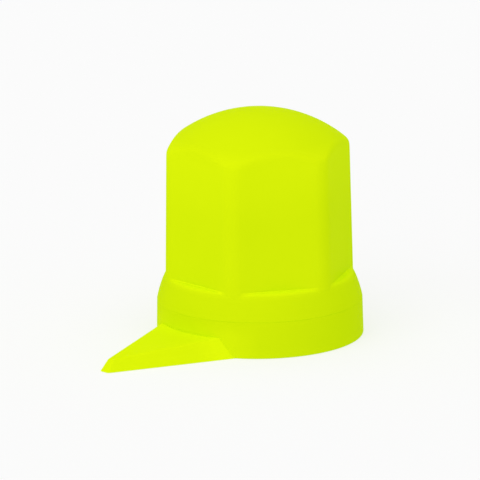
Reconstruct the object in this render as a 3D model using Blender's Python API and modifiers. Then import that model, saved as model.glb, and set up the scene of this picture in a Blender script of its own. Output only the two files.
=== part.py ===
"""Push-on indicator cap for a 33 mm wheel nut, in two mouldings.

The pointer ring grips the nut with thirty splines and carries the arrow pointer.  The dust cap is
a domed hexagonal thimble that snaps over the ring's spigot and covers the nut and the stud's end.

Metres, +Z up.  The origin is on the socket's axis, in the plane of the rim that meets the wheel.
The pointer lies along -Y, square to one flat of the hexagon.
"""
import math

import bpy

# What the cap has to fit, and the sizes that all the others follow.
NUT_ACROSS_FLATS = 0.0330
NUT_CORNER_RADIUS = NUT_ACROSS_FLATS / math.sqrt(3)
TOTAL_HEIGHT = 0.0575
RIM_RADIUS = 0.0260
WALL = 0.0018
GAP = 0.0003
SEGMENTS = 60

# Pointer ring.
RING_HEIGHT = 0.0092
RING_TOP_RADIUS = RIM_RADIUS - 0.0002
RIM_EDGE = 0.0003
SPLINES = 30
SPLINE_ROOT_RADIUS = NUT_CORNER_RADIUS + 0.00015
SPLINE_TIP_RADIUS = SPLINE_ROOT_RADIUS - 0.0010
HUB_RADIUS = SPLINE_ROOT_RADIUS + WALL + 0.0001
HUB_FLOOR = 0.0006
RIBS = 12
RIB_WIDTH = 0.0012
RIB_FLOOR = 0.0010

# Spigot on the ring that the dust cap snaps over.
SPIGOT_RADIUS = 0.0234
SPIGOT_WALL = 0.0014
SPIGOT_TOP = 0.0124
BEAD_HEIGHT = 0.0114
BEAD_DEPTH = 0.00015
BEAD_HALF_WIDTH = 0.0002
BEAD_RAMP = 0.0003

# Keys that stop the dust cap from turning on the ring.
KEY_WIDTH = 0.0034
KEY_INNER_RADIUS = 0.0226
KEY_OUTER_RADIUS = 0.0242
KEY_TOP = 0.0132

# Pointer: a wedge with sloping sides, lower and narrower towards its blunt tip.
POINTER_ROOT = 0.0180
POINTER_FOOT = 0.0001
POINTER_TIP_FOOT = 0.0532
POINTER_TIP_TOP = 0.0510
POINTER_FOOT_HALF_WIDTH = 0.0141
POINTER_TOP_HALF_WIDTH = 0.0104
POINTER_TIP_FOOT_HALF_WIDTH = 0.0015
POINTER_TIP_TOP_HALF_WIDTH = 0.0008
POINTER_ROOT_HEIGHT = 0.0051
POINTER_TIP_HEIGHT = 0.0030
POINTER_ROOF = 0.0016
POINTER_EDGE = 0.0005
SPINE_WIDTH = 0.0014

# Dust cap.
CAP_BASE = RING_HEIGHT + GAP
SHOULDER_TOP = 0.0160
SHOULDER_TOP_RADIUS = 0.0237
SHOULDER_BULGE = 0.00015
SHOULDER_EDGE = 0.0020
SHOULDER_EDGE_STEPS = 4
HEX_HALF_FLATS = 0.0215
HEX_DRAFT = math.radians(0.95)
HEX_CORNER_RADIUS = 0.0050
HEX_FOOT = 0.0125
HEX_HEAD = 0.0600
HEX_CORNER_STEPS = 5
DOME_RADIUS = 0.0347
DOME_REACH = 0.0249
DOME_STEPS = 8
BORE_TOP = 0.0127

FLUORESCENT_YELLOW = (0.66, 0.84, 0.0, 1.0)


def moulded_plastic(name):
    """Satin moulded plastic in fluorescent yellow."""
    material = bpy.data.materials.new(name)
    material.use_nodes = True
    shader = material.node_tree.nodes["Principled BSDF"]
    shader.inputs["Base Color"].default_value = FLUORESCENT_YELLOW
    shader.inputs["Roughness"].default_value = 0.45
    shader.inputs["Metallic"].default_value = 0.0
    return material


def turned(name, profile, collection, closed):
    """Turn a profile of (radius, height) points about Z; it runs down its outer side first."""
    points = [(radius, 0.0, height) for radius, height in profile]
    edges = [(i, i + 1) for i in range(len(points) - 1)]
    if closed:
        edges.append((len(points) - 1, 0))
    mesh = bpy.data.meshes.new(name)
    mesh.from_pydata(points, edges, [])
    form = bpy.data.objects.new(name, mesh)
    collection.objects.link(form)
    screw = form.modifiers.new("Turn", "SCREW")
    screw.axis = "Z"
    screw.angle = math.tau
    screw.steps = SEGMENTS
    screw.render_steps = SEGMENTS
    screw.use_merge_vertices = True
    screw.merge_threshold = 0.00001
    return form


def move_to(form, collection):
    """Take an object out of every collection and put it in one."""
    for owner in list(form.users_collection):
        owner.objects.unlink(form)
    collection.objects.link(form)


def box(name, low, high, collection):
    """A box between two corners."""
    size = [b - a for a, b in zip(low, high)]
    bpy.ops.mesh.primitive_cube_add(size=1.0)
    form = bpy.context.active_object
    form.name = name
    for vertex in form.data.vertices:
        vertex.co = [a + (c + 0.5) * s for a, c, s in zip(low, vertex.co, size)]
    move_to(form, collection)
    return form


def spokes(name, low, high, count, first_angle, collection):
    """Copies of a box that is drawn along +X, set round the axis and joined into one mesh."""
    copies = []
    for i in range(count):
        spoke = box(name, low, high, collection)
        spoke.rotation_euler.z = first_angle + math.tau * i / count
        copies.append(spoke)
    bpy.ops.object.select_all(action="DESELECT")
    for spoke in copies:
        spoke.select_set(True)
    bpy.context.view_layer.objects.active = copies[0]
    bpy.ops.object.transform_apply(location=False, rotation=True, scale=False)
    bpy.ops.object.join()
    joined = bpy.context.active_object
    joined.name = name
    return joined


def wedge(name, sections, collection):
    """A box whose two ends along -Y are given as (reach, height, half-width) at foot and top."""
    bpy.ops.mesh.primitive_cube_add(size=1.0)
    form = bpy.context.active_object
    form.name = name
    for vertex in form.data.vertices:
        end = sections[1] if vertex.co.y < 0.0 else sections[0]
        reach, height, half_width = end["top"] if vertex.co.z > 0.0 else end["foot"]
        vertex.co = (math.copysign(half_width, vertex.co.x), -reach, height)
    move_to(form, collection)
    return form


def combine(form, operation, other):
    """Join, cut or intersect one object with another."""
    boolean = form.modifiers.new(f"{operation.title()} {other.name}", "BOOLEAN")
    boolean.operation = operation
    boolean.solver = "EXACT"
    boolean.object = other


def hidden(*forms):
    """Mark helper forms so that they are drawn as wires and left out of the model."""
    for form in forms:
        form.hide_render = True
        form.display_type = "WIRE"


def finish(form, material):
    """Give a piece its material, smooth round faces and crisp edges."""
    form.data.materials.clear()
    form.data.materials.append(material)
    bpy.ops.object.select_all(action="DESELECT")
    form.select_set(True)
    bpy.context.view_layer.objects.active = form
    form.data.shade_smooth()
    form.data.set_sharp_from_angle(angle=math.radians(30.0))


def pointer_half_widths(reach):
    """The pointer's half-widths at foot and top, at a distance from the axis."""
    foot_start = math.sqrt(RIM_RADIUS**2 - POINTER_FOOT_HALF_WIDTH**2)
    foot_slope = (POINTER_FOOT_HALF_WIDTH - POINTER_TIP_FOOT_HALF_WIDTH) / (POINTER_TIP_FOOT - foot_start)
    top_start = math.sqrt(RIM_RADIUS**2 - POINTER_TOP_HALF_WIDTH**2)
    top_slope = (POINTER_TOP_HALF_WIDTH - POINTER_TIP_TOP_HALF_WIDTH) / (POINTER_TIP_TOP - top_start)
    foot = POINTER_TIP_FOOT_HALF_WIDTH + foot_slope * (POINTER_TIP_FOOT - reach)
    top = POINTER_TIP_TOP_HALF_WIDTH + top_slope * (POINTER_TIP_TOP - reach)
    return foot, top


def pointer_height(reach):
    """The height of the pointer's top face at a distance from the axis."""
    start = math.sqrt(RIM_RADIUS**2 - POINTER_TOP_HALF_WIDTH**2)
    slope = (POINTER_ROOT_HEIGHT - POINTER_TIP_HEIGHT) / (POINTER_TIP_TOP - start)
    return POINTER_TIP_HEIGHT + slope * (POINTER_TIP_TOP - reach)


def make_pointer(helpers):
    """The solid wedge, trimmed to stop inside the ring's outer wall."""
    foot, top = pointer_half_widths(POINTER_ROOT)
    root = {
        "foot": (POINTER_ROOT, POINTER_FOOT, foot),
        "top": (POINTER_ROOT, pointer_height(POINTER_ROOT), top),
    }
    tip = {
        "foot": (POINTER_TIP_FOOT, POINTER_FOOT, POINTER_TIP_FOOT_HALF_WIDTH),
        "top": (POINTER_TIP_TOP, POINTER_TIP_HEIGHT, POINTER_TIP_TOP_HALF_WIDTH),
    }
    form = wedge("pointer_form", (root, tip), helpers)
    weights = form.data.attributes.new("bevel_weight_edge", "FLOAT", "EDGE")
    for edge in form.data.edges:
        ends = [form.data.vertices[v].co for v in edge.vertices]
        on_floor = all(end.z < 2 * POINTER_FOOT for end in ends)
        on_root = all(end.y > -POINTER_ROOT - 1e-6 for end in ends)
        weights.data[edge.index].value = 0.0 if on_floor or on_root else 1.0
    bevel = form.modifiers.new("Soft edges", "BEVEL")
    bevel.limit_method = "WEIGHT"
    bevel.width = POINTER_EDGE
    bevel.segments = 2
    core = turned("pointer_root_cutter", core_profile(RIM_RADIUS - WALL / 2, -0.001, 0.010), helpers, False)
    combine(form, "DIFFERENCE", core)
    hidden(form, core)
    return form


def make_pointer_pockets(helpers):
    """The two pockets that leave the pointer's walls and its middle spine, open below."""
    near, far = RIM_RADIUS - WALL, POINTER_TIP_TOP - 2 * WALL
    sections = []
    for reach in (near, far):
        foot, top = pointer_half_widths(reach)
        roof = pointer_height(reach) - POINTER_ROOF
        top = foot + (top - foot) * roof / pointer_height(reach)
        section = {"foot": (reach, -0.0002, foot - WALL), "top": (reach, roof, top - WALL)}
        sections.append(section)
    form = wedge("pointer_pocket_cutter", sections, helpers)
    wall = turned("pocket_end_cutter", core_profile(RIM_RADIUS, -0.001, 0.010), helpers, False)
    spine = box(
        "pocket_spine_cutter",
        (-SPINE_WIDTH / 2, -POINTER_TIP_FOOT, -0.001),
        (SPINE_WIDTH / 2, -near / 2, 0.010),
        helpers,
    )
    combine(form, "DIFFERENCE", wall)
    combine(form, "DIFFERENCE", spine)
    hidden(form, wall, spine)
    return form


def core_profile(radius, floor, top):
    """The profile of a plain cylinder on the axis."""
    return [(0.0, top), (radius, top), (radius, floor), (0.0, floor)]


def make_spline_cutter(helpers):
    """A star-shaped prism: thirty notches, one for every twelve degrees of turn on the nut."""
    bpy.ops.mesh.primitive_cylinder_add(vertices=2 * SPLINES, radius=1.0, depth=1.0)
    form = bpy.context.active_object
    form.name = "spline_cutter"
    for vertex in form.data.vertices:
        angle = math.atan2(vertex.co.y, vertex.co.x)
        is_root = round(angle / (math.tau / (2 * SPLINES))) % 2 == 0
        radius = SPLINE_ROOT_RADIUS if is_root else SPLINE_TIP_RADIUS
        height = RING_HEIGHT + 0.001 if vertex.co.z > 0.0 else -0.001
        vertex.co = (radius * math.cos(angle), radius * math.sin(angle), height)
    move_to(form, helpers)
    hidden(form)
    return form


def make_pointer_ring(parts, helpers):
    """Outer band, splined hub, the web and spigot over them, ribs and pointer, as one moulding."""
    band_inner = RIM_RADIUS - WALL
    web_floor = RING_HEIGHT - WALL
    spigot_inner = SPIGOT_RADIUS - SPIGOT_WALL
    blank_bore = SPLINE_TIP_RADIUS - 0.001
    bead = SPIGOT_RADIUS + BEAD_DEPTH
    profile = [
        (SPIGOT_RADIUS - 0.0002, SPIGOT_TOP),
        (SPIGOT_RADIUS, SPIGOT_TOP - 0.0003),
        (SPIGOT_RADIUS, BEAD_HEIGHT + BEAD_HALF_WIDTH + BEAD_RAMP),
        (bead, BEAD_HEIGHT + BEAD_HALF_WIDTH),
        (bead, BEAD_HEIGHT - BEAD_HALF_WIDTH),
        (SPIGOT_RADIUS, BEAD_HEIGHT - BEAD_HALF_WIDTH - BEAD_RAMP),
        (SPIGOT_RADIUS, RING_HEIGHT),
        (RING_TOP_RADIUS - RIM_EDGE / 2, RING_HEIGHT),
        (RING_TOP_RADIUS, RING_HEIGHT - RIM_EDGE / 2),
        (RIM_RADIUS, RIM_EDGE),
        (RIM_RADIUS - RIM_EDGE, 0.0),
        (band_inner, 0.0),
        (band_inner, web_floor),
        (HUB_RADIUS, web_floor),
        (HUB_RADIUS, HUB_FLOOR),
        (blank_bore, HUB_FLOOR),
        (blank_bore, RING_HEIGHT),
        (spigot_inner, RING_HEIGHT),
        (spigot_inner, SPIGOT_TOP),
    ]
    ring = turned("pointer_ring", profile, parts, True)
    ribs = spokes(
        "rib_form",
        (HUB_RADIUS - WALL / 3, -RIB_WIDTH / 2, RIB_FLOOR),
        (band_inner + WALL / 3, RIB_WIDTH / 2, web_floor + WALL / 3),
        RIBS,
        math.tau / (2 * RIBS),
        helpers,
    )
    slots = spokes(
        "key_slot_cutter",
        (spigot_inner - 0.0005, -KEY_WIDTH / 2 - GAP, RING_HEIGHT + GAP),
        (KEY_OUTER_RADIUS, KEY_WIDTH / 2 + GAP, SPIGOT_TOP + 0.001),
        2,
        0.0,
        helpers,
    )
    hidden(ribs, slots)
    combine(ring, "UNION", make_pointer(helpers))
    combine(ring, "UNION", ribs)
    combine(ring, "DIFFERENCE", make_pointer_pockets(helpers))
    combine(ring, "DIFFERENCE", slots)
    combine(ring, "DIFFERENCE", make_spline_cutter(helpers))
    finish(ring, moulded_plastic("pointer_ring_plastic"))


def hexagon_prism(name, half_flats, corner_radius, foot, head, collection):
    """A drafted hexagonal prism with round upright corners; half_flats is taken at the shoulder."""
    radii = [
        (half_flats - (height - SHOULDER_TOP) * math.tan(HEX_DRAFT)) / math.cos(math.pi / 6)
        for height in (foot, head)
    ]
    bpy.ops.mesh.primitive_cone_add(
        vertices=6,
        radius1=radii[0],
        radius2=radii[1],
        depth=head - foot,
        location=(0.0, 0.0, (foot + head) / 2),
        rotation=(0.0, 0.0, math.pi / 6),
    )
    form = bpy.context.active_object
    form.name = name
    bpy.ops.object.transform_apply(location=True, rotation=True, scale=False)
    flat_normal = min(form.data.polygons, key=lambda face: face.normal.y).normal
    if abs(flat_normal.x) > 0.1:
        raise ValueError("the hexagon has a corner on the pointer's side")
    weights = form.data.attributes.new("bevel_weight_edge", "FLOAT", "EDGE")
    for edge in form.data.edges:
        ends = [form.data.vertices[v].co for v in edge.vertices]
        weights.data[edge.index].value = 1.0 if abs(ends[0].z - ends[1].z) > (head - foot) / 2 else 0.0
    bevel = form.modifiers.new("Round corners", "BEVEL")
    bevel.limit_method = "WEIGHT"
    bevel.width = corner_radius * math.tan(math.pi / 6)
    bevel.segments = HEX_CORNER_STEPS
    move_to(form, collection)
    return form


def dome_profile(inset, floor):
    """A dome on a straight cylinder, drawn in by a wall's thickness, down to a floor."""
    radius = DOME_RADIUS - inset
    centre = TOTAL_HEIGHT - DOME_RADIUS
    reach = DOME_REACH - inset
    steps = [math.asin(reach / radius) * i / DOME_STEPS for i in range(DOME_STEPS + 1)]
    arc = [(radius * math.sin(a), centre + radius * math.cos(a)) for a in steps]
    return arc + [(reach, floor), (0.0, floor)]


def shoulder_profile():
    """The round shoulder: a slightly bowed slope up to a well-rounded ledge, closed to the axis.

    SHOULDER_TOP_RADIUS is where slope and ledge would meet; SHOULDER_EDGE is the radius between them.
    """
    lean = math.atan2(RING_TOP_RADIUS - SHOULDER_TOP_RADIUS, SHOULDER_TOP - CAP_BASE)
    turn = math.pi / 2 - lean
    centre_radius = SHOULDER_TOP_RADIUS - SHOULDER_EDGE * math.tan(turn / 2)
    centre_height = SHOULDER_TOP - SHOULDER_EDGE
    points = [(0.0, SHOULDER_TOP)]
    for i in range(SHOULDER_EDGE_STEPS + 1):
        angle = turn * i / SHOULDER_EDGE_STEPS
        radius = centre_radius + SHOULDER_EDGE * math.sin(angle)
        points.append((radius, centre_height + SHOULDER_EDGE * math.cos(angle)))
    slope_radius, slope_top = points[-1]
    steps = 3
    for i in range(1, steps + 1):
        t = i / steps
        radius = slope_radius + (RING_TOP_RADIUS - slope_radius) * t
        radius += SHOULDER_BULGE * 4 * t * (1 - t)
        points.append((radius, slope_top + (CAP_BASE - slope_top) * t))
    return points + [(0.0, CAP_BASE)]


def bore_profile():
    """The bore that slips over the spigot, with its groove, and the hollow under the shoulder."""
    bore = SPIGOT_RADIUS + GAP
    groove = bore + BEAD_DEPTH
    return [
        (0.0, SHOULDER_TOP - WALL),
        (SHOULDER_TOP_RADIUS - WALL, SHOULDER_TOP - WALL),
        (bore, BORE_TOP),
        (bore, BEAD_HEIGHT + BEAD_HALF_WIDTH + 2 * BEAD_RAMP),
        (groove, BEAD_HEIGHT + BEAD_HALF_WIDTH + BEAD_RAMP),
        (groove, BEAD_HEIGHT - BEAD_HALF_WIDTH - BEAD_RAMP),
        (bore, BEAD_HEIGHT - BEAD_HALF_WIDTH - 2 * BEAD_RAMP),
        (bore, CAP_BASE - 0.001),
        (0.0, CAP_BASE - 0.001),
    ]


def make_dust_cap(parts, helpers):
    """Hexagonal body under a dome, standing on a round shoulder, hollow to an even wall."""
    cap = hexagon_prism("dust_cap", HEX_HALF_FLATS, HEX_CORNER_RADIUS, HEX_FOOT, HEX_HEAD, parts)
    dome = turned("dome_form", dome_profile(0.0, HEX_FOOT - 0.001), helpers, False)
    shoulder = turned("shoulder_form", shoulder_profile(), helpers, False)
    hollow = hexagon_prism(
        "hollow_cutter",
        HEX_HALF_FLATS - WALL,
        HEX_CORNER_RADIUS - WALL,
        HEX_FOOT + 0.0003,
        HEX_HEAD,
        helpers,
    )
    hollow_dome = turned("hollow_dome_form", dome_profile(WALL, HEX_FOOT - 0.001), helpers, False)
    bore = turned("bore_cutter", bore_profile(), helpers, False)
    keys = spokes(
        "key_form",
        (KEY_INNER_RADIUS, -KEY_WIDTH / 2, CAP_BASE + 2 * GAP),
        (KEY_OUTER_RADIUS, KEY_WIDTH / 2, KEY_TOP),
        2,
        0.0,
        helpers,
    )
    hidden(dome, shoulder, hollow, hollow_dome, bore, keys)
    combine(hollow, "INTERSECT", hollow_dome)
    combine(cap, "INTERSECT", dome)
    combine(cap, "UNION", shoulder)
    combine(cap, "DIFFERENCE", hollow)
    combine(cap, "DIFFERENCE", bore)
    combine(cap, "UNION", keys)
    finish(cap, moulded_plastic("dust_cap_plastic"))


def main():
    for leftover in list(bpy.data.objects):
        bpy.data.objects.remove(leftover, do_unlink=True)
    parts = bpy.data.collections.new("wheel_nut_indicator_cap")
    helpers = bpy.data.collections.new("cutters")
    for collection in (parts, helpers):
        bpy.context.scene.collection.children.link(collection)
    make_pointer_ring(parts, helpers)
    make_dust_cap(parts, helpers)


main()
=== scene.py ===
"""Looks of a wheel nut indicator cap: fine mouldings, fluorescent plastic and a plain pale studio.

Metres, +Z up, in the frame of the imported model.  The origin is on the socket's axis in the plane of
the rim, and the pointer lies along -Y.
"""
import math

import bmesh
import bpy
from bpy.props import FloatProperty, FloatVectorProperty, IntProperty, PointerProperty
from mathutils import Matrix, Vector


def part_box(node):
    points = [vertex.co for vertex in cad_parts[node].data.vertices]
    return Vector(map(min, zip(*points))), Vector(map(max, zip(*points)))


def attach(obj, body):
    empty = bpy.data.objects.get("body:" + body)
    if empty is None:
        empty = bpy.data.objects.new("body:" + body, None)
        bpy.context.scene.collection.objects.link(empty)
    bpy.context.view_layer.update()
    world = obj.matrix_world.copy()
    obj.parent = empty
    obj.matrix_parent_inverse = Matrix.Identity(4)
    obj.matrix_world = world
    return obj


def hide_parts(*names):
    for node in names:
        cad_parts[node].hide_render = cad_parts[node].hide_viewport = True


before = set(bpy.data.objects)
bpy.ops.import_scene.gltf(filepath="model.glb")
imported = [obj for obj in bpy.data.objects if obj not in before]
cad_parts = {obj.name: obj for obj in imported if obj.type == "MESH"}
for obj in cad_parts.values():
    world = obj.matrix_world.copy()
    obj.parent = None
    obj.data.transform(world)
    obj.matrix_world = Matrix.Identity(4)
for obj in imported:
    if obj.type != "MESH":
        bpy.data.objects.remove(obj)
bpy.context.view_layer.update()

bl_info = {
    "name": "Wheel Nut Indicator Cap",
    "version": (1, 0, 0),
    "blender": (4, 5, 0),
    "location": "View3D > Sidebar > Nut Cap",
    "description": "Models a push-on indicator cap for a wheel nut, with its plastic and a studio",
    "category": "Add Mesh",
}

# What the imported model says.
RING_LOW, RING_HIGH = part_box("pointer_ring")
CAP_LOW, CAP_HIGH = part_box("dust_cap")

# How finely the shells are divided.
CAP_COLUMNS = 216
SPLINE_COLUMNS = 8
OUTLINE_STEP = 0.0001
FOOT_STEPS = 160
WALL_STEPS = 24
DOME_STEPS = 60
ARC_STEPS = 4
CUTTER_COLUMNS = 240
MERGE_DISTANCE = 0.000004
SMOOTH_ANGLE = 32.0

# Rows of the cap's skins between the places that cap_outline picks out, from base to axis.
OUTER_ROWS = (10, 14, 7, 7, 10, 16, 16)
INNER_ROWS = (16, 10, 4, 4, 6, 8, 10)

# Lengths of the cap's outline, on either side of the ledge and of the crown, that get closer rows.
ROUND_BELOW_LEDGE = 0.0034
NEAR_LEDGE = 0.0006
NEAR_CROWN = 0.0030

# Soft edges of keys, ribs and slots, of the pockets' corners, and inside the cap.
DETAIL_EDGE = 0.0002
POCKET_EDGE = 0.0004
INNER_FOOT_SOFTNESS = 0.00015
INNER_CROWN_SOFTNESS = 0.0005

FLOOR_RADIUS = 3.0
FLOOR_DROP = 0.00005
SUN_WIDTH = 60.0


def length(name, description, default):
    """A length that a user can change."""
    return FloatProperty(name=name, description=description, default=default, unit="LENGTH", precision=5)


def tilt(name, description, degrees):
    """An angle that a user can change, given here in degrees and kept in radians."""
    return FloatProperty(
        name=name, description=description, default=math.radians(degrees), subtype="ANGLE", precision=4
    )


class CapSizes(bpy.types.PropertyGroup):
    """Sizes of the domed hexagonal dust cap."""

    height: length("Height", "From the rim's plane to the top of the dome", CAP_HIGH[2])
    base: length("Base", "Height of the cap's lower edge above the rim's plane", CAP_LOW[2])
    base_radius: length("Base radius", "Radius of the shoulder at its foot", CAP_HIGH[0])
    ledge_height: length("Ledge height", "Height of the ledge at the foot of the flats", 0.0160)
    ledge_radius: length("Ledge radius", "Radius of the ledge's outer edge before it is rounded", 0.0237)
    ledge_rounding: length("Ledge rounding", "Radius of the ledge's outer edge in section", 0.0020)
    bulge: length("Shoulder bulge", "How far the shoulder's slope bows out", 0.00015)
    half_flats: length("Half across flats", "From the axis to a flat, at the ledge", 0.0215)
    draft: tilt("Draft", "How far each flat leans in", 0.95)
    corner_radius: length("Corner radius", "Radius of the upright corners", 0.0050)
    dome_radius: length("Dome radius", "Radius of the domed end", 0.0347)
    wall: length("Wall", "Thickness of the moulding", 0.0018)
    foot_softness: length("Foot softness", "How far the edges at the ledge are rounded", 0.00015)
    crown_softness: length("Crown softness", "How far the edge between flats and dome is rounded", 0.00085)
    bore_radius: length("Bore radius", "Radius of the bore that slips over the spigot", 0.0237)
    bore_top: length("Bore top", "Height of the bore's upper end", 0.0127)
    seam_drop: length("Seam drop", "How far the lower edge reaches down to close the seam", 0.00018)
    groove_low: length("Groove's foot", "Height of the snap groove's lower edge", 0.0107)
    groove_high: length("Groove's top", "Height of the snap groove's upper edge", 0.0121)
    groove_depth: length("Groove depth", "How far the snap groove goes into the bore", 0.00015)
    key_width: length("Key width", "Width of the two keys in the bore", 0.0034)
    key_inner: length("Key's inner end", "From the axis to a key's inner end", 0.0226)
    key_outer: length("Key's outer end", "From the axis to a key's outer end, inside the wall", 0.0242)
    key_lift: length("Key lift", "How far a key starts above the cap's base", 0.0006)
    key_top: length("Key top", "Height of a key's upper end", 0.0132)


class RingSizes(bpy.types.PropertyGroup):
    """Sizes of the splined ring and its pointer."""

    radius: length("Rim radius", "Outer radius at the rim", RING_HIGH[0])
    top: length("Ring top", "Height of the seam under the dust cap", CAP_LOW[2] - 0.0002)
    wall: length("Wall", "Thickness of the moulding", 0.0018)
    splines: IntProperty(name="Splines", description="Notches that grip the nut's corners", default=30)
    root_radius: length("Spline root radius", "Radius at the bottom of a notch", 0.0192)
    spline_depth: length("Spline depth", "Height of a tooth over the notches", 0.0010)
    hub_floor: length("Hub floor", "How far the splines stop short of the rim's plane", 0.0006)
    ribs: IntProperty(name="Ribs", description="Stiffening ribs between band and hub", default=12)
    rib_width: length("Rib width", "Thickness of a rib", 0.0012)
    spigot_radius: length("Spigot radius", "Radius of the collar that the cap snaps over", 0.0234)
    spigot_wall: length("Spigot wall", "Thickness of the collar", 0.0014)
    spigot_top: length("Spigot top", "Height of the collar's upper edge", RING_HIGH[2])
    bead_height: length("Bead height", "Height of the snap bead's middle", 0.0114)
    bead_depth: length("Bead depth", "How far the snap bead stands out", 0.00015)
    bead_half: length("Bead's half-width", "Half the width of the snap bead's crest", 0.0002)
    bead_ramp: length("Bead ramp", "Height of the slope on each side of the crest", 0.0003)
    slot_half: length("Key slot's half-width", "Half the width of the slots for the keys", 0.0020)
    pointer_reach: length("Pointer reach", "From the axis to the pointer's tip", -RING_LOW[1])
    pointer_height: length("Pointer height", "Height of the pointer where it leaves the ring", 0.0051)
    tip_height: length("Tip height", "Height of the pointer at its tip", 0.0030)
    foot_half_width: length("Foot half-width", "Half the pointer's width at the ring, at the floor", 0.0141)
    top_half_width: length("Top half-width", "Half the pointer's width at the ring, on top", 0.0104)
    tip_foot_half: length("Tip foot's half-width", "Half the tip's width at the floor", 0.0015)
    tip_top_half: length("Tip top's half-width", "Half the tip's width on top", 0.0008)
    tip_setback: length("Tip setback", "How far the tip's top lies behind its foot", 0.0022)
    pointer_edge: length("Pointer edge", "Rounding of the pointer's edges", 0.0005)
    pointer_lift: length("Pointer lift", "How far the pointer's foot is clear of the rim's plane", 0.00006)
    pocket_wall: length("Pocket wall", "Thickness of the pointer's walls and roof", 0.0017)
    pocket_end: length("Pocket end", "From the pointer's tip to the end of its pockets", 0.0036)
    spine_width: length("Spine width", "Thickness of the web between the two pockets", 0.0014)


class PlasticLook(bpy.types.PropertyGroup):
    """Colours and finish of the fluorescent plastic."""

    colour: FloatVectorProperty(
        name="Colour",
        description="Colour in reflected light",
        subtype="COLOR",
        size=3,
        default=(0.645, 0.60, 0.003),
    )
    deep_colour: FloatVectorProperty(
        name="Deep colour",
        description="Colour where the pigment lies thicker",
        subtype="COLOR",
        size=3,
        default=(0.615, 0.58, 0.002),
    )
    # painted glow: a constant green emission that stands in for the pigment's fluorescence and lifts the
    # shaded sides
    painted_glow_colour: FloatVectorProperty(
        name="Glow colour",
        description="Colour of the light that the pigment gives back",
        subtype="COLOR",
        size=3,
        default=(0.04, 1.0, 0.0),
    )
    glow: FloatProperty(
        name="Glow", description="Strength of the light given back", default=0.24, min=0.0
    )
    sheen_tint: FloatVectorProperty(
        name="Sheen tint",
        description="Tint of the soft gloss",
        subtype="COLOR",
        size=3,
        default=(0.9, 1.0, 0.05),
    )
    gloss: FloatProperty(name="Gloss", description="Light that the skin mirrors", default=0.001, min=0.0)
    roughness: FloatProperty(
        name="Roughness", description="Satin of the mould", subtype="FACTOR", default=0.45, min=0.0, max=1.0
    )


class StageLook(bpy.types.PropertyGroup):
    """Camera, lights and floor."""

    azimuth: tilt("Azimuth", "Camera's turn round the cap, from the pointer's side", 46.87)
    elevation: tilt("Elevation", "Camera's height over the horizon", 14.61)
    roll: tilt("Roll", "Camera's roll", -0.70)
    distance: length("Distance", "From the camera to the cap", 1.98)
    lens: FloatProperty(name="Lens", description="Focal length", default=592.0, unit="CAMERA")
    aim_side: length("Aim to the side", "How far the view's middle lies to the left of the axis", 0.0048)
    aim_height: length("Aim height", "Height of the view's middle", 0.0239)
    sky_light: FloatProperty(name="Sky light", description="Even light from all round", default=0.645)
    key_light: FloatProperty(name="Key light", description="Soft light from the left", default=0.735)
    front_light: FloatProperty(name="Front light", description="Soft light from the front", default=0.49)
    top_light: FloatProperty(name="Top light", description="Soft light from above", default=0.537)
    floor_colour: FloatVectorProperty(
        name="Floor colour", description="Pale floor", subtype="COLOR", size=3, default=(0.31, 0.31, 0.31)
    )
    floor_glow: FloatProperty(name="Floor glow", description="Light through the floor", default=0.65)


class Socket:
    """A shader socket that takes part in Python arithmetic by adding Math nodes."""

    def __init__(self, shop, output):
        self.shop = shop
        self.output = output

    def _math(self, operation, first, second):
        return self.shop.node("ShaderNodeMath", {"operation": operation}, {0: first, 1: second})

    def __add__(self, other):
        return self._math("ADD", self, other)

    def __radd__(self, other):
        return self._math("ADD", other, self)

    def __sub__(self, other):
        return self._math("SUBTRACT", self, other)

    def __rsub__(self, other):
        return self._math("SUBTRACT", other, self)

    def __mul__(self, other):
        return self._math("MULTIPLY", self, other)

    def __rmul__(self, other):
        return self._math("MULTIPLY", other, self)

    def __pow__(self, other):
        return self._math("POWER", self, other)


class Shop:
    """Adds nodes to one material."""

    def __init__(self, material):
        self.tree = material.node_tree

    def node(self, kind, settings=None, inputs=None, output=0):
        """Add a node, set it up, feed its sockets with values or links, and give back one output.

        The setting "stops" gives the (place, grey level) pairs of a Color Ramp.
        """
        added = self.tree.nodes.new(kind)
        for name, value in (settings or {}).items():
            if name == "stops":
                self.set_stops(added.color_ramp.elements, value)
            else:
                setattr(added, name, value)
        self.feed(added, inputs or {})
        return Socket(self, added.outputs[output])

    def set_stops(self, elements, stops):
        for _ in stops[2:]:
            elements.new(0.5)
        for element, (at, level) in zip(elements, stops):
            element.position = at
            element.color = (level, level, level, 1.0)

    def levels(self, value, stops):
        """Levels near 1 at given values, with straight runs between them."""
        low, high = stops[0][0], stops[-1][0]
        scaled = [((at - low) / (high - low), level / 1.25) for at, level in stops]
        place = (value - low) * (1.0 / (high - low))
        return self.node("ShaderNodeValToRGB", {"stops": scaled}, {"Fac": place}) * 1.25

    def feed(self, added, inputs):
        for name, value in inputs.items():
            if isinstance(value, Socket):
                self.tree.links.new(value.output, added.inputs[name])
            else:
                added.inputs[name].default_value = value


def deselect():
    """Leave edit mode and select nothing, so that an operator acts only on what is picked next."""
    if bpy.context.object and bpy.context.object.mode != "OBJECT":
        bpy.ops.object.mode_set(mode="OBJECT")
    bpy.ops.object.select_all(action="DESELECT")


def pick(*forms):
    """Select these objects and make the first one active."""
    deselect()
    for form in forms:
        form.select_set(True)
    bpy.context.view_layer.objects.active = forms[0]


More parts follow.
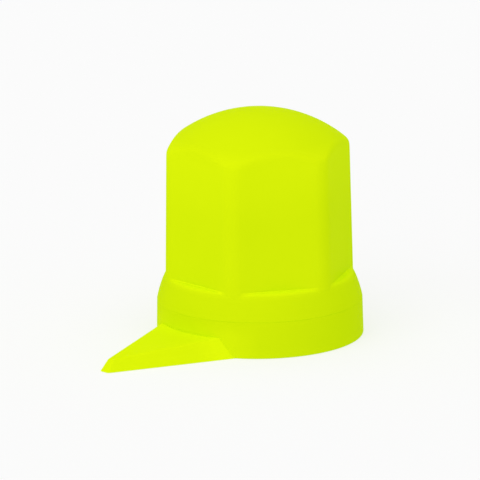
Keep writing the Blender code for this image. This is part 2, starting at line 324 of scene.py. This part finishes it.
def rounded(corners, steps):
    """Points of a closed outline of (radius, height, rounding) corners, with an arc at each corner."""
    points = []
    count = len(corners)
    for i, (radius, height, rounding) in enumerate(corners):
        here = Vector((radius, height))
        before = Vector(corners[i - 1][:2]) - here
        after = Vector(corners[(i + 1) % count][:2]) - here
        if rounding <= 0.0:
            points.append(tuple(here))
            continue
        half = before.angle(after) / 2
        run = min(rounding / math.tan(half), 0.45 * before.length, 0.45 * after.length)
        start, end = here + before.normalized() * run, here + after.normalized() * run
        for k in range(steps + 1):
            t = k / steps
            blend = start * (1 - t) ** 2 + here * 2 * t * (1 - t) + end * t**2
            points.append(tuple(blend))
    return points


def loft(name, columns, rows, place, closed):
    """Extrude a ring of points row by row, putting each row in its place, and close the shell."""
    deselect()
    bpy.ops.mesh.primitive_circle_add(vertices=columns, radius=1.0, fill_type="NOTHING")
    shell = bpy.context.active_object
    shell.name = name
    angles = [math.atan2(vertex.co.y, vertex.co.x) for vertex in shell.data.vertices]
    bpy.ops.object.mode_set(mode="EDIT")
    bpy.ops.mesh.select_all(action="SELECT")
    for row in range(rows):
        if row > 0:
            bpy.ops.mesh.extrude_region_move()
        mesh = bmesh.from_edit_mesh(shell.data)
        ring = [vertex for vertex in mesh.verts if vertex.select]
        for angle, vertex in zip(angles, ring):
            vertex.co = place(row, angle)
        bmesh.update_edit_mesh(shell.data, loop_triangles=False)
    if closed:
        bpy.ops.mesh.select_all(action="DESELECT")
        bpy.ops.mesh.select_non_manifold(extend=False)
        bpy.ops.mesh.bridge_edge_loops()
    bpy.ops.mesh.select_all(action="SELECT")
    bpy.ops.mesh.remove_doubles(threshold=MERGE_DISTANCE)
    bpy.ops.mesh.normals_make_consistent(inside=False)
    bpy.ops.object.mode_set(mode="OBJECT")
    return shell


def combine(form, operation, other):
    """Join or cut one object with another, and drop the other."""
    boolean = form.modifiers.new(operation.title(), "BOOLEAN")
    boolean.operation = operation
    boolean.solver = "MANIFOLD"
    boolean.object = other
    pick(form)
    bpy.ops.object.modifier_apply(modifier=boolean.name)
    bpy.data.objects.remove(other, do_unlink=True)


def block(name, low, high, edge):
    """A box between two corners with softly bevelled edges."""
    deselect()
    middle = [(a + b) / 2 for a, b in zip(low, high)]
    bpy.ops.mesh.primitive_cube_add(size=1.0, location=middle)
    form = bpy.context.active_object
    form.name = name
    bpy.ops.transform.resize(value=[b - a for a, b in zip(low, high)])
    bpy.ops.object.transform_apply(location=True, rotation=True, scale=True)
    bpy.ops.object.mode_set(mode="EDIT")
    bpy.ops.mesh.select_all(action="SELECT")
    bpy.ops.mesh.bevel(offset=edge, segments=2, affect="EDGES")
    bpy.ops.object.mode_set(mode="OBJECT")
    return form


def set_round(form, count, first_angle):
    """Copy a form that is modelled along +X evenly round the axis, and join the copies."""
    copies = []
    for i in range(count):
        pick(form)
        bpy.ops.object.duplicate()
        copy = bpy.context.active_object
        turn = Matrix.Rotation(first_angle + math.tau * i / count, 4, "Z")
        copy.data.transform(turn)
        copies.append(copy)
    bpy.data.objects.remove(form, do_unlink=True)
    pick(*copies)
    bpy.ops.object.join()
    return copies[0]


def hexagon_radius(half_flats, corner_radius, angle):
    """Polar radius of a hexagon with round corners and one flat square to -Y."""
    turn = (angle + math.pi / 2 + math.pi / 6) % (math.pi / 3) - math.pi / 6
    straight = (half_flats - corner_radius) * math.tan(math.pi / 6)
    if abs(half_flats * math.tan(turn)) <= straight:
        return half_flats / math.cos(turn)
    along = math.cos(turn) * (half_flats - corner_radius) + math.sin(abs(turn)) * straight
    off = (half_flats - corner_radius) ** 2 + straight**2 - corner_radius**2
    return along + math.sqrt(along**2 - off)


def resample(points, step):
    """Points at even steps along an outline, and how many steps along it each of its own points lies."""
    travelled = [0.0]
    for (r0, z0), (r1, z1) in zip(points, points[1:]):
        travelled.append(travelled[-1] + math.hypot(r1 - r0, z1 - z0))
    pieces = round(travelled[-1] / step)
    even, i = [], 0
    for k in range(pieces + 1):
        at = travelled[-1] * k / pieces
        while i < len(points) - 2 and travelled[i + 1] <= at:
            i += 1
        t = (at - travelled[i]) / (travelled[i + 1] - travelled[i])
        (r0, z0), (r1, z1) = points[i], points[i + 1]
        even.append((r0 + (r1 - r0) * t, z0 + (z1 - z0) * t))
    return even, [distance * pieces / travelled[-1] for distance in travelled]


def softened(points, spread_at):
    """Average each point with its neighbours, over a spread that changes along the outline."""
    soft = []
    last = len(points) - 1
    for i in range(last + 1):
        spread = spread_at(i) / OUTLINE_STEP
        reach = min(int(3 * spread), i)
        total = r_sum = z_sum = 0.0
        for k in range(-reach, reach + 1):
            j = i + k  # past the axis the outline goes on as its mirror image
            r, z = points[j] if j <= last else (-points[2 * last - j][0], points[2 * last - j][1])
            weight = math.exp(-0.5 * (k / spread) ** 2)
            total += weight
            r_sum += r * weight
            z_sum += z * weight
        soft.append((r_sum / total, z_sum / total))
    return soft


def cap_outline(shape, angle):
    """One half-section of the cap's outer or inner skin, as points at set stations from base to axis.

    shape gives the skin's foot, its ledge, hexagon and dome.  The flats rise out of the shoulder,
    or, at a corner that stands proud of it, straight out of the slope.
    """
    def wall_radius(height):
        half = shape["half_flats"] - (height - shape["draft_from"]) * shape["lean"]
        return hexagon_radius(half, shape["corner_radius"], angle)

    def inside_dome(height):
        return wall_radius(height) ** 2 + (height - shape["dome_centre"]) ** 2 < shape["dome_radius"] ** 2

    ledge, base = shape["ledge"], shape["base"]
    points = [(shape["foot"](base), base)]
    height, k = base, 0
    while k < FOOT_STEPS and shape["foot"](height) > wall_radius(height):
        k += 1
        height = ledge - (ledge - base) * (1 - k / FOOT_STEPS) ** 2
        points.append((max(shape["foot"](height), wall_radius(height)), height))
    if points[-1][0] > wall_radius(ledge) + 1e-6:
        points.append((wall_radius(ledge), ledge))
    foot = len(points) - 1
    arch_height, above = ledge, shape["dome_centre"] + shape["dome_radius"]
    for _ in range(30):  # halve the span until the height where flat and dome meet is found
        middle = (arch_height + above) / 2
        if inside_dome(middle):
            arch_height = middle
        else:
            above = middle
    for k in range(1, WALL_STEPS + 1):
        height = points[foot][1] + (arch_height - points[foot][1]) * k / WALL_STEPS
        points.append((wall_radius(height), height))
    arch = len(points) - 1
    start = math.asin(points[-1][0] / shape["dome_radius"])
    for k in range(1, DOME_STEPS + 1):
        lean = start * (1 - k / DOME_STEPS)
        radius = shape["dome_radius"] * math.sin(lean)
        points.append((radius, shape["dome_centre"] + shape["dome_radius"] * math.cos(lean)))
    even, marks = resample(points, OUTLINE_STEP)
    foot, arch, last = marks[foot], marks[arch], len(even) - 1
    middle = (foot + arch) / 2

    def spread_at(i):
        t = min(max((i - middle) / (arch - middle) * 2 - 0.5, 0.0), 1.0)
        return shape["foot_softness"] * (1 - t) + shape["crown_softness"] * t

    soft = softened(even, spread_at)
    below, near, wide = (run / OUTLINE_STEP for run in (ROUND_BELOW_LEDGE, NEAR_LEDGE, NEAR_CROWN))
    places = (foot - below, foot - near, foot, foot + near, arch - wide, arch + wide, last)
    stations, low = [0], 0
    for rows, high in zip(shape["rows"], places):
        stations += [low + (high - low) * k / rows for k in range(1, rows + 1)]
        low = high
    outline = []
    for station in stations:
        i = min(int(station), last - 1)
        t = station - i
        (r0, z0), (r1, z1) = soft[i], soft[i + 1]
        outline.append((r0 + (r1 - r0) * t, z0 + (z1 - z0) * t))
    outline[-1] = (0.0, outline[-1][1])
    return outline


def add_finish(piece, body, node, material):
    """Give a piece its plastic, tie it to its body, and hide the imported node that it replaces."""
    piece.data.materials.clear()
    piece.data.materials.append(material)
    pick(piece)
    bpy.ops.object.shade_smooth_by_angle(angle=math.radians(SMOOTH_ANGLE))
    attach(piece, body)
    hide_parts(node)
    deselect()


def fluorescent_plastic(name, look, light_and_shade_paint):
    """Satin moulded plastic: even pigment, a fine spark-eroded grain and a faint flow pattern, under
    painted light and shade.

    The function passed in gives the painted light and shade: how much lighter or darker the plastic is
    painted at each place.
    """
    material = bpy.data.materials.new(name)
    material.use_nodes = True
    shop = Shop(material)
    shader = material.node_tree.nodes["Principled BSDF"]
    place = shop.node("ShaderNodeTexCoord", output=3)
    flow = shop.node("ShaderNodeTexNoise", inputs={"Vector": place, "Scale": 70.0, "Detail": 3.0})
    grain = shop.node("ShaderNodeTexNoise", inputs={"Vector": place, "Scale": 3200.0, "Detail": 2.0})
    waves = shop.node("ShaderNodeTexNoise", inputs={"Vector": place, "Scale": 260.0, "Detail": 2.0})
    pigment = shop.node(
        "ShaderNodeMix",
        {"data_type": "RGBA"},
        {0: flow, 6: (*look.colour, 1.0), 7: (*look.deep_colour, 1.0)},
        output=2,
    )
    # the pigment multiplied by painted light and shade, which makes the surface lighter or darker at each
    # place
    colour = shop.node(
        "ShaderNodeMix",
        {"data_type": "RGBA", "blend_type": "MULTIPLY", "clamp_result": False},
        {0: 1.0, 6: pigment, 7: light_and_shade_paint(shop, place)},
        output=2,
    )
    height = grain * 0.6 + waves * 1.6
    relief = shop.node("ShaderNodeBump", inputs={"Height": height, "Strength": 0.06, "Distance": 0.00006})
    inputs = {
        "Base Color": colour,
        "Roughness": look.roughness + (grain - 0.5) * 0.12 + (flow - 0.5) * 0.08,
        "Normal": relief,
        "Specular IOR Level": look.gloss,
        "Specular Tint": (*look.sheen_tint, 1.0),
        # painted glow: constant emission standing in for fluorescence
        "Emission Color": (*look.painted_glow_colour, 1.0),
        "Emission Strength": look.glow,
    }
    shop.feed(shader, inputs)
    return material


def distance_from_axis(shop, place):
    x = shop.node("ShaderNodeSeparateXYZ", inputs={"Vector": place}, output=0)
    y = shop.node("ShaderNodeSeparateXYZ", inputs={"Vector": place}, output=1)
    return (x * x + y * y) ** 0.5


def cap_painted_light_and_shade(shop, place):
    """Painted light and shade: painted shade on the shoulder's slope below the ledge, painted light on the
    upper flats, and painted highlights along the crown's edge and on the six ledges.
    """
    height = shop.node("ShaderNodeSeparateXYZ", inputs={"Vector": place}, output=2)
    # painted shade: 5 % darker from the base up to just under the ledge, over the skirt and the shoulder's
    # slope
    skirt = [(0.0, 0.95), (0.0144, 0.95), (0.0156, 1.0)]
    # painted light: the flats grow up to 6 % lighter towards their top, with a painted highlight along the
    # crown's edge that fades onto the dome
    crown = [(0.0330, 1.0), (0.0470, 1.06), (0.0490, 1.05), (0.0515, 1.0), (0.0580, 1.0)]
    # painted highlight: a band up to 12 % lighter along the ledges' rounded top
    ledge = [(0.0, 0.0), (0.0144, 0.0), (0.0154, 0.9), (0.0161, 1.2), (0.0163, 0.0), (0.0580, 0.0)]
    # keeps the painted ledge highlight between the corners, off where the corners stand proud
    ledge_highlight_off_corners = shop.levels(distance_from_axis(shop, place), [(0.0, 1.0), (0.0233, 1.0), (0.0238, 0.0)])
    return shop.levels(height, skirt + crown) + shop.levels(height, ledge) * ledge_highlight_off_corners * 0.10


def ring_painted_light_and_shade(shop, place):
    """Painted light and shade: painted shade on the band, painted light on the pointer, and painted bounce
    light on the band round the pointer's root.
    """
    y = shop.node("ShaderNodeSeparateXYZ", inputs={"Vector": place}, output=1)
    height = shop.node("ShaderNodeSeparateXYZ", inputs={"Vector": place}, output=2)
    radius = distance_from_axis(shop, place)
    # painted light: 1 past the band's outer face, so that the pointer is painted lighter
    pointer = shop.levels(radius, [(0.0, 0.0), (0.02605, 0.0), (0.0262, 1.0), (0.0540, 1.0)])
    # painted bounce light: the band lighter near the pointer's root, fading away along -Y on either side
    out_from_root = [(-0.0540, 0.0), (-0.0310, 0.0), (-0.0262, 1.0)]
    in_from_root = [(-0.0225, 1.0), (-0.0180, 0.0), (0.0270, 0.0)]
    root_painted_bounce = shop.levels(y, out_from_root + in_from_root)
    # keeps the painted bounce light on the band's lower part
    root_bounce_height = shop.levels(height, [(0.0, 1.0), (0.0055, 1.0), (0.0088, 0.0), (0.0125, 0.0)])
    # painted shade: the band 5 % darker; painted light: the pointer 12.5 % lighter and the band near the
    # pointer's root up to 6.5 % lighter
    return 0.95 + pointer * 0.125 + root_painted_bounce * root_bounce_height * 0.065


def cap_place(sizes):
    """Where each row of the dust cap's shell lies: outer skin downwards, then inner skin upwards."""
    base = sizes.base - sizes.seam_drop
    rise, fall_back = sizes.ledge_height - base, sizes.base_radius - sizes.ledge_radius
    lean = math.atan2(fall_back, rise)
    turn = math.pi / 2 - lean
    run = sizes.ledge_rounding * math.tan(turn / 2)
    arc_centre = (sizes.ledge_radius - run, sizes.ledge_height - sizes.ledge_rounding)
    arc_foot = sizes.ledge_height - run * math.cos(lean)

    def outer_foot(height):
        if height > arc_foot:
            up = min(height - arc_centre[1], sizes.ledge_rounding)
            return arc_centre[0] + math.sqrt(sizes.ledge_rounding**2 - up**2)
        t = (height - base) / rise
        return sizes.base_radius - fall_back * t + sizes.bulge * math.sin(math.pi * min(t * 1.2, 1.0))

    def inner_foot(height):
        if height > sizes.bore_top:
            t = (height - sizes.bore_top) / (sizes.ledge_height - sizes.wall - sizes.bore_top)
            return sizes.bore_radius + (sizes.ledge_radius - sizes.wall - sizes.bore_radius) * t
        in_groove = sizes.groove_low < height < sizes.groove_high
        return sizes.bore_radius + (sizes.groove_depth if in_groove else 0.0)

    common = {
        "base": base,
        "lean": math.tan(sizes.draft),
        "draft_from": sizes.ledge_height,
        "dome_centre": sizes.height - sizes.dome_radius,
    }
    outer = dict(
        common,
        foot=outer_foot,
        ledge=sizes.ledge_height,
        half_flats=sizes.half_flats,
        corner_radius=sizes.corner_radius,
        dome_radius=sizes.dome_radius,
        foot_softness=sizes.foot_softness,
        crown_softness=sizes.crown_softness,
        rows=OUTER_ROWS,
    )
    inner = dict(
        common,
        foot=inner_foot,
        ledge=sizes.ledge_height - sizes.wall,
        half_flats=sizes.half_flats - sizes.wall,
        corner_radius=sizes.corner_radius - sizes.wall,
        dome_radius=sizes.dome_radius - sizes.wall,
        foot_softness=INNER_FOOT_SOFTNESS,
        crown_softness=INNER_CROWN_SOFTNESS,
        rows=INNER_ROWS,
    )
    outer_rows = sum(OUTER_ROWS) + 1
    sections = {}

    def place(row, angle):
        alike = round(hexagon_radius(1.0, 0.1, angle), 6)  # the same wherever the hexagon repeats
        if alike not in sections:
            sections[alike] = (cap_outline(outer, angle)[::-1], cap_outline(inner, angle))
        skins = sections[alike]
        radius, height = skins[0][row] if row < outer_rows else skins[1][row - outer_rows]
        return Vector((radius * math.cos(angle), radius * math.sin(angle), height))

    return place, outer_rows + sum(INNER_ROWS) + 1


class NUTCAP_OT_dust_cap(bpy.types.Operator):
    """Model the domed hexagonal dust cap as one shell with an even wall"""

    bl_idname = "nutcap.dust_cap"
    bl_label = "Dust Cap"

    def execute(self, context):
        sizes = context.scene.nutcap_cap
        place, rows = cap_place(sizes)
        cap = loft("dust_cap_moulding", CAP_COLUMNS, rows, place, False)
        key = block(
            "key",
            (sizes.key_inner, -sizes.key_width / 2, sizes.base + sizes.key_lift),
            (sizes.key_outer, sizes.key_width / 2, sizes.key_top),
            DETAIL_EDGE,
        )
        combine(cap, "UNION", set_round(key, 2, 0.0))
        plastic = fluorescent_plastic("dust_cap_plastic", context.scene.nutcap_plastic, cap_painted_light_and_shade)
        add_finish(cap, "cap", "dust_cap", plastic)
        return {"FINISHED"}


def ring_place(sizes):
    """Where each row of the ring's shell lies, once round its section."""
    band = sizes.radius - sizes.wall
    web = sizes.top - sizes.wall
    hub = sizes.root_radius + sizes.wall
    inner = sizes.spigot_radius - sizes.spigot_wall
    bead, half, ramp = sizes.bead_depth, sizes.bead_half, sizes.bead_ramp
    low, high = sizes.hub_floor, sizes.top
    outline = rounded(
        [
            (sizes.spigot_radius, sizes.spigot_top, 0.0003),
            (sizes.spigot_radius, sizes.bead_height + half + ramp, 0.0),
            (sizes.spigot_radius + bead, sizes.bead_height + half, 0.0),
            (sizes.spigot_radius + bead, sizes.bead_height - half, 0.0),
            (sizes.spigot_radius, sizes.bead_height - half - ramp, 0.0),
            (sizes.spigot_radius, sizes.top, 0.0002),
            (sizes.radius - 0.0002, sizes.top, 0.00006),
            (sizes.radius, 0.0, 0.00035),
            (band, 0.0, 0.0002),
            (band - 0.0001, web, 0.0005),
            (hub, web, 0.0005),
            (hub, low, 0.0002),
        ],
        ARC_STEPS,
    )
    bore = [(low, 0.0), (low + 0.0008, 1.0), (high - 0.0006, 1.0), (high, 0.0)]
    bore_start = len(outline)
    outline += [(sizes.root_radius + 0.0001, height) for height, _ in bore]
    outline += rounded([(inner, high, 0.0), (inner, sizes.spigot_top, 0.0)], 1)

    def place(row, angle):
        radius, height = outline[row]
        if bore_start <= row < bore_start + len(bore):
            wave = abs((angle * sizes.splines / math.tau + 0.5) % 1.0 - 0.5) * 2
            tooth = wave**2 * (3 - 2 * wave)
            radius -= tooth * bore[row - bore_start][1] * sizes.spline_depth
        return Vector((radius * math.cos(angle), radius * math.sin(angle), height))

    return place, len(outline)


def pointer_form(name, sizes, inset, reaches, floor, edge):
    """A wedge along -Y whose sides slope; inset draws it in for a pocket under the roof."""
    foot_start = math.sqrt(sizes.radius**2 - sizes.foot_half_width**2)
    top_start = math.sqrt(sizes.radius**2 - sizes.top_half_width**2)
    tip_foot, tip_top = sizes.pointer_reach, sizes.pointer_reach - sizes.tip_setback
    foot_slope = (sizes.foot_half_width - sizes.tip_foot_half) / (tip_foot - foot_start)
    top_slope = (sizes.top_half_width - sizes.tip_top_half) / (tip_top - top_start)
    fall = (sizes.pointer_height - sizes.tip_height) / (tip_top - top_start)
    deselect()
    bpy.ops.mesh.primitive_cube_add(size=1.0)
    form = bpy.context.active_object
    form.name = name
    for vertex in form.data.vertices:
        is_top, is_tip = vertex.co.z > 0.0, vertex.co.y < 0.0
        reach = reaches[1] if is_tip else reaches[0]
        if is_tip and is_top:
            reach -= tip_foot - tip_top
        foot = sizes.tip_foot_half + foot_slope * (tip_foot - reach)
        top = sizes.tip_top_half + top_slope * (tip_top - reach)
        roof = sizes.tip_height + fall * (tip_top - reach)
        height = roof - inset if is_top else floor
        width = foot + (top - foot) * max(height, 0.0) / roof - inset
        vertex.co = (math.copysign(width, vertex.co.x), -reach, height)
    bpy.ops.object.mode_set(mode="EDIT")
    bpy.ops.mesh.select_all(action="DESELECT")
    mesh = bmesh.from_edit_mesh(form.data)
    for line in mesh.edges:
        on_floor = all(end.co.z <= floor + 1e-6 for end in line.verts)
        at_root = all(end.co.y > -reaches[0] - 1e-6 for end in line.verts)
        line.select = not (on_floor or at_root)
    bmesh.update_edit_mesh(form.data)
    bpy.ops.mesh.bevel(offset=edge, segments=4, affect="EDGES")
    bpy.ops.object.mode_set(mode="OBJECT")
    return form


def drum(name, radius, low, high):
    """A plain round cutter on the axis."""
    deselect()
    bpy.ops.mesh.primitive_cylinder_add(
        vertices=CUTTER_COLUMNS, radius=radius, depth=high - low, location=(0.0, 0.0, (low + high) / 2)
    )
    bpy.ops.object.transform_apply(location=True, rotation=True, scale=True)
    form = bpy.context.active_object
    form.name = name
    return form


class NUTCAP_OT_pointer_ring(bpy.types.Operator):
    """Model the splined ring with its ribs, spigot and hollow pointer"""

    bl_idname = "nutcap.pointer_ring"
    bl_label = "Pointer Ring"

    def execute(self, context):
        sizes = context.scene.nutcap_ring
        place, rows = ring_place(sizes)
        ring = loft("pointer_ring_moulding", sizes.splines * SPLINE_COLUMNS, rows, place, True)
        reaches = (sizes.root_radius - 0.0012, sizes.pointer_reach)
        pointer = pointer_form("pointer", sizes, 0.0, reaches, sizes.pointer_lift, sizes.pointer_edge)
        combine(pointer, "DIFFERENCE", drum("root_cutter", sizes.radius - sizes.wall / 2, -0.01, 0.01))
        combine(ring, "UNION", pointer)
        rib = block(
            "rib",
            (sizes.root_radius + 0.0012, -sizes.rib_width / 2, 0.0010),
            (sizes.radius - 0.0012, sizes.rib_width / 2, sizes.top - 0.0012),
            DETAIL_EDGE,
        )
        combine(ring, "UNION", set_round(rib, sizes.ribs, math.pi / sizes.ribs))
        reaches = (sizes.radius - sizes.wall, sizes.pointer_reach - sizes.pocket_end)
        pockets = pointer_form("pockets", sizes, sizes.pocket_wall, reaches, -0.0002, POCKET_EDGE)
        combine(pockets, "DIFFERENCE", drum("pocket_end", sizes.radius, -0.01, 0.01))
        half_spine = sizes.spine_width / 2
        spine = block("spine", (-half_spine, -0.06, -0.01), (half_spine, 0.0, 0.01), 0.0001)
        combine(pockets, "DIFFERENCE", spine)
        combine(ring, "DIFFERENCE", pockets)
        slot = block(
            "key_slot",
            (sizes.spigot_radius - sizes.spigot_wall - 0.0006, -sizes.slot_half, sizes.top + 0.0004),
            (sizes.spigot_radius + 0.0011, sizes.slot_half, sizes.spigot_top + 0.0011),
            DETAIL_EDGE,
        )
        combine(ring, "DIFFERENCE", set_round(slot, 2, 0.0))
        plastic = fluorescent_plastic("pointer_ring_plastic", context.scene.nutcap_plastic, ring_painted_light_and_shade)
        add_finish(ring, "ring", "pointer_ring", plastic)
        return {"FINISHED"}


def soft_sun(name, towards, strength):
    """A distant light with soft-edged shadows that shines from a direction."""
    deselect()
    bpy.ops.object.light_add(type="SUN", location=towards)
    lamp = bpy.context.active_object
    lamp.name = name
    lamp.data.energy = strength
    lamp.data.angle = math.radians(SUN_WIDTH)
    lamp.rotation_mode = "QUATERNION"
    lamp.rotation_quaternion = (-towards).to_track_quat("-Z", "Y")


def direction(azimuth, elevation):
    """Unit vector from the cap towards a viewer; azimuth 0 stands at -Y."""
    level = math.cos(elevation)
    return Vector((math.sin(azimuth) * level, -math.cos(azimuth) * level, math.sin(elevation)))


class NUTCAP_OT_stage(bpy.types.Operator):
    """Add the pale floor, the soft lights, the background and the camera"""

    bl_idname = "nutcap.stage"
    bl_label = "Stage"

    def execute(self, context):
        look = context.scene.nutcap_stage
        self.add_floor(look)
        self.add_lights(look)
        self.add_camera(context, look)
        world = bpy.data.worlds.new("studio")
        context.scene.world = world
        world.use_nodes = True
        background = world.node_tree.nodes["Background"]
        background.inputs["Color"].default_value = (1.0, 1.0, 1.0, 1.0)
        background.inputs["Strength"].default_value = look.sky_light
        context.scene.view_settings.view_transform = "Standard"
        return {"FINISHED"}

    def add_floor(self, look):
        deselect()
        bpy.ops.mesh.primitive_circle_add(
            vertices=96, radius=FLOOR_RADIUS, fill_type="NGON", location=(0.0, 0.0, -FLOOR_DROP)
        )
        floor = bpy.context.active_object
        floor.name = "floor"
        material = bpy.data.materials.new("pale_floor")
        material.use_nodes = True
        shader = material.node_tree.nodes["Principled BSDF"]
        shader.inputs["Base Color"].default_value = (*look.floor_colour, 1.0)
        shader.inputs["Roughness"].default_value = 0.9
        shader.inputs["Specular IOR Level"].default_value = 0.0
        shader.inputs["Emission Color"].default_value = (1.0, 1.0, 1.0, 1.0)
        shader.inputs["Emission Strength"].default_value = look.floor_glow
        floor.data.materials.append(material)

    def add_lights(self, look):
        """Three wide, soft lights: one from the left, one from high in front and one from overhead."""
        left = look.azimuth - math.radians(40.0)
        soft_sun("key", direction(left, math.radians(15.0)), look.key_light)
        soft_sun("front", direction(look.azimuth, math.radians(62.0)), look.front_light)
        soft_sun("overhead", direction(look.azimuth, math.radians(88.0)), look.top_light)

    def add_camera(self, context, look):
        deselect()
        right = Vector((math.cos(look.azimuth), math.sin(look.azimuth), 0.0))
        aim = Vector((0.0, 0.0, look.aim_height)) - right * look.aim_side
        back = direction(look.azimuth, look.elevation)
        bpy.ops.object.camera_add(location=aim + back * look.distance)
        camera = bpy.context.active_object
        camera.name = "camera"
        camera.data.lens = look.lens
        camera.data.sensor_width = 36.0
        camera.data.clip_start = 0.05
        camera.data.clip_end = 20.0
        camera.rotation_mode = "QUATERNION"
        roll = Matrix.Rotation(look.roll, 4, "Z").to_quaternion()
        camera.rotation_quaternion = (-back).to_track_quat("-Z", "Y") @ roll
        context.scene.camera = camera


class NUTCAP_PT_panel(bpy.types.Panel):
    """Lists the pieces of the cap and the stage"""

    bl_idname = "NUTCAP_PT_panel"
    bl_label = "Wheel Nut Indicator Cap"
    bl_space_type = "VIEW_3D"
    bl_region_type = "UI"
    bl_category = "Nut Cap"

    def draw(self, context):
        for group in ("nutcap_cap", "nutcap_ring", "nutcap_plastic", "nutcap_stage"):
            box = self.layout.box()
            values = getattr(context.scene, group)
            for name in values.bl_rna.properties.keys():
                if name not in ("rna_type", "name"):
                    box.prop(values, name)
        for operator in (NUTCAP_OT_dust_cap, NUTCAP_OT_pointer_ring, NUTCAP_OT_stage):
            self.layout.operator(operator.bl_idname)


GROUPS = {
    "nutcap_cap": CapSizes,
    "nutcap_ring": RingSizes,
    "nutcap_plastic": PlasticLook,
    "nutcap_stage": StageLook,
}
CLASSES = (NUTCAP_OT_dust_cap, NUTCAP_OT_pointer_ring, NUTCAP_OT_stage, NUTCAP_PT_panel)


def register():
    for name, group in GROUPS.items():
        bpy.utils.register_class(group)
        setattr(bpy.types.Scene, name, PointerProperty(type=group))
    for kind in CLASSES:
        bpy.utils.register_class(kind)


def unregister():
    for kind in reversed(CLASSES):
        bpy.utils.unregister_class(kind)
    for name, group in GROUPS.items():
        delattr(bpy.types.Scene, name)
        bpy.utils.unregister_class(group)


def main():
    register()
    bpy.ops.nutcap.pointer_ring()
    bpy.ops.nutcap.dust_cap()
    bpy.ops.nutcap.stage()


if __name__ == "__main__":
    main()
